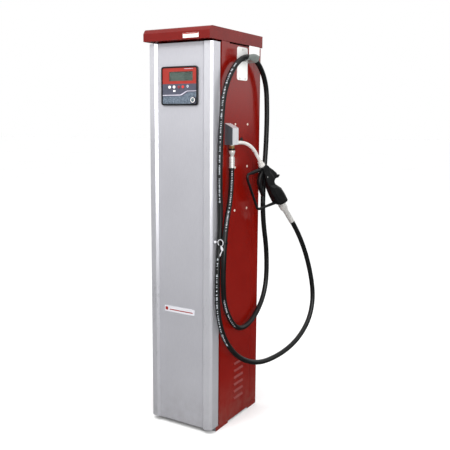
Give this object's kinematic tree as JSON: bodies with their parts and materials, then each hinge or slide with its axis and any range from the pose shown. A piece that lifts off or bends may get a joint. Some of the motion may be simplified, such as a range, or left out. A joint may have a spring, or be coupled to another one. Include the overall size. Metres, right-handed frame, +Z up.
{
  "type": "fuel dispenser",
  "caption": "Upright fuel dispenser cabinet with a display panel, side hose hook, looped hose and parked nozzle.",
  "frame": {"origin": "centre of the four floor anchor holes, on the floor under the cabinet", "axes": "+Z up, -Y towards the customer in front, +X towards the side with the hose and nozzle"},
  "size_m": [0.4995, 0.7037, 1.7],
  "materials": {
    "steel": "satin",
    "zinc_sheet": "semi-matt",
    "aluminium": "satin anodised",
    "red_paint": "gloss",
    "white_paint": "gloss",
    "white_plastic": "gloss",
    "black_plastic": "satin",
    "grey_plastic": "satin",
    "red_plastic": "gloss",
    "dark_red_plastic": "gloss",
    "window": "clear",
    "electronics": "satin",
    "rubber": "satin",
    "brass": "machined",
    "iron": "painted"
  },
  "bodies": {
    "cabinet": {"base_tray": "zinc_sheet", "side_panel_right": "red_paint", "side_panel_left": "red_paint", "corner_profile_right": "aluminium", "corner_profile_left": "aluminium", "front_panel": "aluminium", "front_crossbars": "zinc_sheet", "lid": "red_paint", "badges": "white_plastic", "door_pins": "steel", "bezel": "black_plastic", "display_facia": "red_plastic", "display_window": "window", "display_module": "grey_plastic", "keypad_facia": "grey_plastic", "key_reader": "black_plastic", "control_housing": "zinc_sheet", "control_board": "electronics", "hose_hook": "white_paint", "side_rivets": "white_plastic", "hook_screws": "steel", "hole_plug": "black_plastic", "boot_housing": "zinc_sheet", "boot_switch": "black_plastic", "hose_nipple": "brass", "nipple_ring": "black_plastic", "hose_union": "steel", "hose_upper": "rubber", "hose_lower": "rubber", "hose_tie": "black_plastic", "pump_shelf": "zinc_sheet", "pump_body": "iron", "pump_cover": "iron", "motor_housing": "iron", "inlet_pipe": "steel", "riser_pipe": "steel", "meter_body": "iron", "meter_cover": "iron", "outlet_pipe": "steel", "junction_box": "iron"},
    "nozzle": {"spout": "white_paint", "spout_collar": "white_plastic", "nozzle_body": "black_plastic", "lever_pin": "steel", "trigger_guard": "black_plastic", "swivel_stub": "steel"},
    "trigger": {"trigger": "black_plastic"},
    "hose_swivel": {"hose_swivel": "steel"},
    "switch_lever": {"switch_lever": "steel"},
    "rear_door": {"rear_door": "red_paint", "door_lock": "steel"},
    "lock_core": {"lock_core": "steel"},
    "key_1": {"key_1": "white_plastic"},
    "key_2": {"key_2": "white_plastic"},
    "key_3": {"key_3": "dark_red_plastic"},
    "key_4": {"key_4": "red_plastic"},
    "drive": {"motor_rotor": "steel", "pump_rotor": "steel"},
    "meter_gear_left": {"meter_gear_left": "steel"},
    "meter_gear_right": {"meter_gear_right": "steel"}
  },
  "joints": [
    {"name": "nozzle_lift", "type": "slide", "parent": "cabinet", "child": "nozzle", "axis": [0.2588, 0.9659, 0], "range_m": [0, 0.06], "deforming": ["hose_lower"]},
    {"name": "trigger_squeeze", "type": "hinge", "parent": "nozzle", "child": "trigger", "pos_m": [0.22305, 0.096, 1.119], "axis": [0.9659, -0.2588, 0], "range_deg": [0, 15], "stiffness_Nm_per_rad": 1, "springref_deg": -28.65},
    {"name": "hose_swivel_turn", "type": "hinge", "parent": "nozzle", "child": "hose_swivel", "pos_m": [0.25515, 0.21578, 0.967], "axis": [0.1664, 0.621, -0.7659], "continuous": true},
    {"name": "switch_lever_tilt", "type": "hinge", "parent": "cabinet", "child": "switch_lever", "pos_m": [0.177, -0.0853, 1.294], "axis": [1, 0, 0], "range_deg": [0, 8.6]},
    {"name": "rear_door_swing", "type": "hinge", "parent": "cabinet", "child": "rear_door", "pos_m": [-0.15, 0.128, 0.85], "axis": [0, 0, 1], "range_deg": [0, 95]},
    {"name": "lock_turn", "type": "hinge", "parent": "rear_door", "child": "lock_core", "pos_m": [0.115, 0.18, 0.85], "axis": [0, 1, 0], "range_deg": [0, 90]},
    {"name": "drive_spin", "type": "hinge", "parent": "cabinet", "child": "drive", "pos_m": [0, -0.02, 0.38], "axis": [1, 0, 0], "continuous": true},
    {"name": "meter_left_spin", "type": "hinge", "parent": "cabinet", "child": "meter_gear_left", "pos_m": [-0.1156, -0.025, 0.82], "axis": [0, 1, 0], "continuous": true},
    {"name": "meter_right_spin", "type": "hinge", "parent": "cabinet", "child": "meter_gear_right", "pos_m": [-0.0684, -0.025, 0.82], "axis": [0, 1, 0], "continuous": true},
    {"name": "key_1_press", "type": "slide", "parent": "cabinet", "child": "key_1", "axis": [0, 1, 0], "range_m": [0, 0.0012], "stiffness_N_per_m": 300, "springref_m": -0.001},
    {"name": "key_2_press", "type": "slide", "parent": "cabinet", "child": "key_2", "axis": [0, 1, 0], "range_m": [0, 0.0012], "stiffness_N_per_m": 300, "springref_m": -0.001},
    {"name": "key_3_press", "type": "slide", "parent": "cabinet", "child": "key_3", "axis": [0, 1, 0], "range_m": [0, 0.0012], "stiffness_N_per_m": 300, "springref_m": -0.001},
    {"name": "key_4_press", "type": "slide", "parent": "cabinet", "child": "key_4", "axis": [0, 1, 0], "range_m": [0, 0.0012], "stiffness_N_per_m": 300, "springref_m": -0.001}
  ],
  "couplings": [
    {"joint": "switch_lever_tilt", "follows": "nozzle_lift", "rad_per_m": 2.5},
    {"joint": "meter_right_spin", "follows": "meter_left_spin", "ratio": -1}
  ]
}
